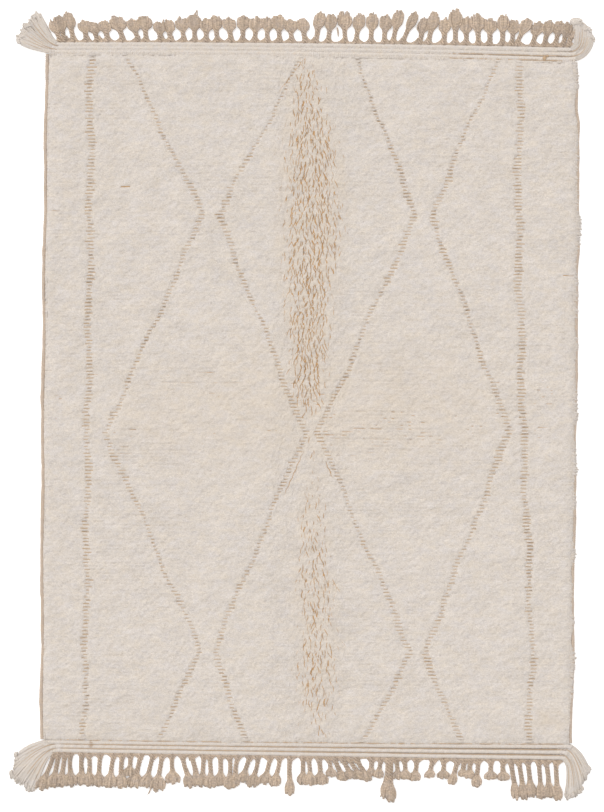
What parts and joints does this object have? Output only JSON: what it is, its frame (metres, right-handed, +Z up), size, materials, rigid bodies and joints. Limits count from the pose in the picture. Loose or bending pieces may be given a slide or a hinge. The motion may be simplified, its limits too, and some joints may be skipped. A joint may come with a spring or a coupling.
{
  "type": "beni ourain rug",
  "caption": "Thick ivory hand-knotted wool rug with a sunk zigzag lozenge lattice, twined ends with frayed corners, wrapped side edges and a twisted tan warp fringe at both ends.",
  "frame": {"origin": "middle of the pile field's flat underside, on the floor that the rug lies on", "axes": "+X across the rug, to the right as seen from above; +Y along it towards the end with the broad fringe heads; +Z up out of the pile"},
  "size_m": [1.6961, 2.2784, 0.0187],
  "materials": {
    "ivory_pile": "soft undyed ivory wool pile, matt",
    "ivory_cord": "twined undyed ivory wool yarn, matt",
    "tan_warp": "twisted tan-beige wool warps, matt",
    "tan_wrap": "tan wool yarn wrapped over the edge warps, matt"
  },
  "bodies": {
    "root": {"rug_field": "ivory_pile", "selvedge_left": "tan_wrap", "selvedge_right": "tan_wrap", "end_cord_top_1": "ivory_cord", "end_cord_top_2": "ivory_cord", "end_cord_top_3": "ivory_cord", "end_cord_bottom_1": "ivory_cord", "end_cord_bottom_2": "ivory_cord", "end_cord_bottom_3": "ivory_cord", "fringe_top": "tan_warp", "fringe_bottom": "tan_warp"}
  },
  "joints": []
}
